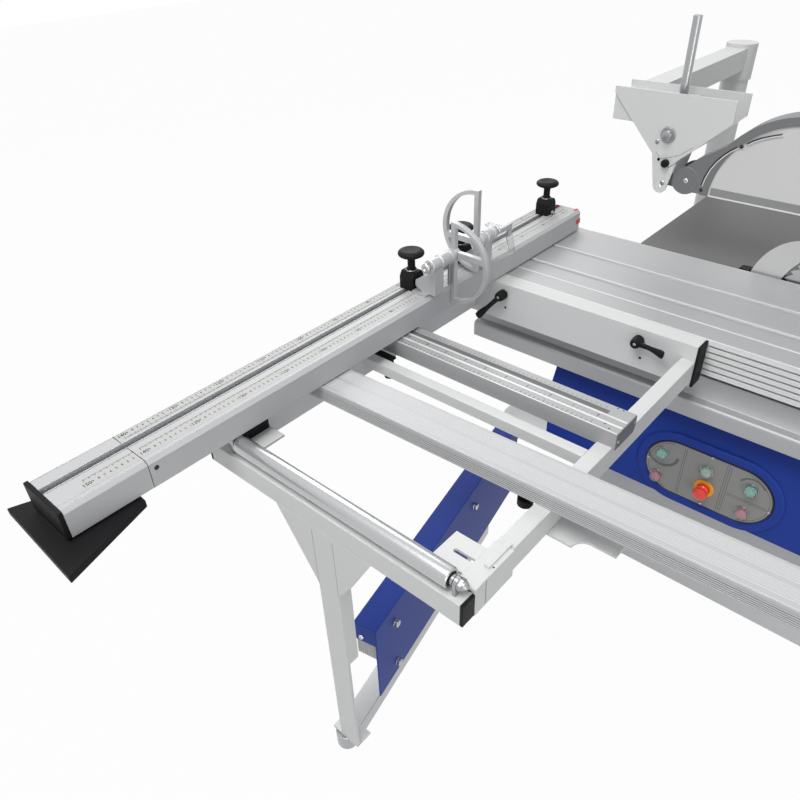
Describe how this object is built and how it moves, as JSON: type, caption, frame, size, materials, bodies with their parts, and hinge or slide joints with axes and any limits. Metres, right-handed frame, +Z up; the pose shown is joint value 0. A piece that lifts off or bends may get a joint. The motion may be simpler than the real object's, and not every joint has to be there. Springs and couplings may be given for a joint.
{
  "type": "sliding table saw",
  "caption": "Sliding table saw with an aluminium sliding table, an outrigger frame on a swing arm, a cross fence with flip stops, a tilting blade unit and an overarm guard.",
  "frame": {"origin": "centre of the anchor hole pattern on the floor, straight below the centre of the main blade", "axes": "+X from the sliding table across to the rip side, +Y the way the work is fed, +Z up"},
  "size_m": [2.667, 2.134, 1.44],
  "materials": {
    "blue_paint": "semi-gloss powder coat",
    "grey_paint": "semi-gloss powder coat",
    "dark_paint": "satin",
    "motor_paint": "satin",
    "cast_iron": "ground top",
    "anodised": "satin anodised",
    "slide_aluminium": "satin anodised",
    "cast_aluminium": "polished casting",
    "guard_grey": "satin",
    "panel_grey": "printed plate",
    "black_plastic": "fine grain",
    "steel": "ground",
    "bright_steel": "polished",
    "blade_steel": "ground",
    "belt_rubber": "matt",
    "button_green": "gloss",
    "button_red": "gloss",
    "button_pale": "gloss",
    "stop_red": "gloss"
  },
  "bodies": {
    "machine": {"lower_cabinet": "grey_paint", "upper_housing": "blue_paint", "control_panel": "panel_grey", "main_table": "cast_iron", "table_insert": "black_plastic", "support_blocks": "dark_paint", "extension_table": "grey_paint", "guide_beam": "anodised", "arm_bracket": "grey_paint", "rip_rail": "steel", "guard_post": "grey_paint", "trunnions": "dark_paint"},
    "table": {"sliding_table": "slide_aluminium", "table_fittings": "black_plastic"},
    "trolley": {"trolley_frame": "dark_paint"},
    "roller_pair_front": {"trolley_rollers_front": "steel"},
    "roller_pair_rear": {"trolley_rollers_rear": "steel"},
    "outrigger": {"clamp_beam": "grey_paint", "cross_tubes": "grey_paint", "outer_tube": "grey_paint", "black_caps": "black_plastic", "support_post": "grey_paint", "roller_mounts": "steel", "outrigger_plates": "grey_paint", "mitre_bar": "anodised", "thin_tube": "grey_paint"},
    "work_roller": {"support_roller": "bright_steel"},
    "pull_out": {"ribbed_profile": "anodised"},
    "lever_1": {"clamp_lever_1": "black_plastic"},
    "lever_2": {"clamp_lever_2": "black_plastic"},
    "arm": {"swing_arm": "blue_paint"},
    "arm_slide": {"inner_arm": "steel"},
    "fence": {"fence_profile": "anodised"},
    "pivot_knob": {"fence_knob": "black_plastic"},
    "fence_pull_out": {"fence_extension": "anodised", "fence_support": "black_plastic"},
    "stop_1": {"stop_body_1": "cast_aluminium"},
    "stop_2": {"stop_body_2": "cast_aluminium"},
    "flag_1": {"stop_flag_1": "cast_aluminium"},
    "flag_2": {"stop_flag_2": "cast_aluminium"},
    "knob_1": {"stop_knob_1": "black_plastic"},
    "knob_2": {"stop_knob_2": "black_plastic"},
    "tilt_unit": {"tilt_carriage": "dark_paint"},
    "rise_unit": {"rise_slide": "dark_paint", "riving_knife": "steel", "drive_belt": "belt_rubber", "saw_motor": "motor_paint"},
    "rotor": {"motor_pulley": "steel"},
    "main_blade": {"saw_blade": "blade_steel"},
    "scoring_slide": {"scoring_unit": "dark_paint"},
    "scoring_disc": {"scoring_blade": "blade_steel"},
    "boom": {"guard_boom": "grey_paint"},
    "hood": {"guard_hood": "guard_grey"},
    "rip": {"rip_fence": "anodised"},
    "green_1": {"start_button_1": "button_green"},
    "red_1": {"stop_button_1": "button_red"},
    "pale": {"pilot_button": "button_pale"},
    "green_2": {"start_button_2": "button_green"},
    "red_2": {"stop_button_2": "button_red"},
    "estop": {"emergency_stop": "stop_red"}
  },
  "joints": [
    {"name": "table_slide", "type": "slide", "parent": "machine", "child": "table", "axis": [0, 1, 0], "range_m": [-0.86, 1.395]},
    {"name": "trolley_slide", "type": "slide", "parent": "machine", "child": "trolley", "axis": [0, 1, 0], "range_m": [-0.43, 0.6975]},
    {"name": "roller_front_spin", "type": "hinge", "parent": "trolley", "child": "roller_pair_front", "pos_m": [-0.2875, -0.4725, 0.7893], "axis": [-1, 0, 0], "range_deg": [-1400, 2240]},
    {"name": "roller_rear_spin", "type": "hinge", "parent": "trolley", "child": "roller_pair_rear", "pos_m": [-0.2875, 0.2675, 0.7893], "axis": [-1, 0, 0], "range_deg": [-1400, 2240]},
    {"name": "outrigger_slide", "type": "slide", "parent": "table", "child": "outrigger", "axis": [0, 1, 0], "range_m": [-0.25, 0.02]},
    {"name": "work_roller_spin", "type": "hinge", "parent": "outrigger", "child": "work_roller", "pos_m": [-1.213, 0.4465, 0.883], "axis": [0, 1, 0], "continuous": true},
    {"name": "pull_out_slide", "type": "slide", "parent": "outrigger", "child": "pull_out", "axis": [0.0366, -0.9993, 0], "range_m": [0, 0.5]},
    {"name": "lever_1_turn", "type": "hinge", "parent": "outrigger", "child": "lever_1", "pos_m": [-0.427, 0.656, 0.874], "axis": [1, 0, 0], "range_deg": [-90, 0]},
    {"name": "lever_2_turn", "type": "hinge", "parent": "outrigger", "child": "lever_2", "pos_m": [-0.427, 0.302, 0.874], "axis": [1, 0, 0], "range_deg": [-90, 20]},
    {"name": "arm_swing", "type": "hinge", "parent": "machine", "child": "arm", "pos_m": [-0.285, 0.685, 0.38], "axis": [0, 0, -1], "range_deg": [-38.5, 62]},
    {"name": "arm_slide_swing", "type": "hinge", "parent": "outrigger", "child": "arm_slide", "pos_m": [-1.216, 0.491, 0.146], "axis": [0, 0, -1], "range_deg": [-38.5, 62]},
    {"name": "fence_swivel", "type": "hinge", "parent": "table", "child": "fence", "pos_m": [-0.101, 0.7505, 0.93], "axis": [0, 0, 1], "range_deg": [0, 38]},
    {"name": "pivot_knob_turn", "type": "hinge", "parent": "fence", "child": "pivot_knob", "pos_m": [-0.101, 0.7505, 1.02], "axis": [0, 0, 1], "range_deg": [0, 120]},
    {"name": "fence_pull_out_slide", "type": "slide", "parent": "fence", "child": "fence_pull_out", "axis": [-1, 0, 0], "range_m": [0, 1]},
    {"name": "stop_1_slide", "type": "slide", "parent": "fence", "child": "stop_1", "axis": [1, 0, 0], "range_m": [-0.66, 0.03]},
    {"name": "stop_2_slide", "type": "slide", "parent": "fence", "child": "stop_2", "axis": [1, 0, 0], "range_m": [0, 0.24]},
    {"name": "flag_1_flip", "type": "hinge", "parent": "stop_1", "child": "flag_1", "pos_m": [-0.6, 0.677, 1.036], "axis": [1, 0, 0], "range_deg": [-180, 0]},
    {"name": "flag_2_flip", "type": "hinge", "parent": "stop_2", "child": "flag_2", "pos_m": [-0.52, 0.677, 1.036], "axis": [1, 0, 0], "range_deg": [0, 180]},
    {"name": "knob_1_turn", "type": "hinge", "parent": "stop_1", "child": "knob_1", "pos_m": [-0.66, 0.7505, 1.02], "axis": [0, 0, 1], "range_deg": [0, 120]},
    {"name": "knob_2_turn", "type": "hinge", "parent": "stop_2", "child": "knob_2", "pos_m": [-0.48, 0.7505, 1.02], "axis": [0, 0, 1], "range_deg": [0, 120]},
    {"name": "blade_tilt", "type": "hinge", "parent": "machine", "child": "tilt_unit", "pos_m": [0, 0, 0.9], "axis": [0, 1, 0], "range_deg": [0, 45]},
    {"name": "blade_rise", "type": "slide", "parent": "tilt_unit", "child": "rise_unit", "axis": [0, 0, 1], "range_m": [-0.1, 0]},
    {"name": "arbor_spin", "type": "hinge", "parent": "rise_unit", "child": "main_blade", "pos_m": [0, 0, 0.843], "axis": [1, 0, 0], "continuous": true},
    {"name": "rotor_spin", "type": "hinge", "parent": "rise_unit", "child": "rotor", "pos_m": [0.2, 0.2, 0.7], "axis": [1, 0, 0], "continuous": true},
    {"name": "scoring_rise", "type": "slide", "parent": "tilt_unit", "child": "scoring_slide", "axis": [0, 0, 1], "range_m": [-0.015, 0]},
    {"name": "scoring_spin", "type": "hinge", "parent": "scoring_slide", "child": "scoring_disc", "pos_m": [0, -0.23, 0.842], "axis": [1, 0, 0], "continuous": true},
    {"name": "guard_swivel", "type": "hinge", "parent": "machine", "child": "boom", "pos_m": [0.7, 0.59, 1.24], "axis": [0, 0, 1], "range_deg": [-90, 0]},
    {"name": "hood_rise", "type": "slide", "parent": "boom", "child": "hood", "axis": [0, 0, 1], "range_m": [-0.15, 0.03]},
    {"name": "rip_slide", "type": "slide", "parent": "machine", "child": "rip", "axis": [1, 0, 0], "range_m": [-0.6, 0.02]},
    {"name": "green_1_press", "type": "slide", "parent": "machine", "child": "green_1", "axis": [1, 0, 0], "range_m": [0, 0.003], "stiffness_N_per_m": 600, "springref_m": -0.002},
    {"name": "red_1_press", "type": "slide", "parent": "machine", "child": "red_1", "axis": [1, 0, 0], "range_m": [0, 0.003], "stiffness_N_per_m": 600, "springref_m": -0.002},
    {"name": "pale_press", "type": "slide", "parent": "machine", "child": "pale", "axis": [1, 0, 0], "range_m": [0, 0.003], "stiffness_N_per_m": 600, "springref_m": -0.002},
    {"name": "green_2_press", "type": "slide", "parent": "machine", "child": "green_2", "axis": [1, 0, 0], "range_m": [0, 0.003], "stiffness_N_per_m": 600, "springref_m": -0.002},
    {"name": "red_2_press", "type": "slide", "parent": "machine", "child": "red_2", "axis": [1, 0, 0], "range_m": [0, 0.003], "stiffness_N_per_m": 600, "springref_m": -0.002},
    {"name": "estop_press", "type": "slide", "parent": "machine", "child": "estop", "axis": [1, 0, 0], "range_m": [0, 0.0035], "stiffness_N_per_m": 900, "springref_m": -0.002}
  ],
  "couplings": [
    {"joint": "trolley_slide", "follows": "table_slide", "ratio": 0.5},
    {"joint": "roller_front_spin", "follows": "table_slide", "rad_per_m": 27.778},
    {"joint": "roller_rear_spin", "follows": "table_slide", "rad_per_m": 27.778},
    {"joint": "arm_swing", "follows": "table_slide", "rad_per_m": 0.768},
    {"joint": "arm_slide_swing", "follows": "table_slide", "rad_per_m": 0.768},
    {"joint": "rotor_spin", "follows": "arbor_spin", "ratio": 0.68}
  ]
}
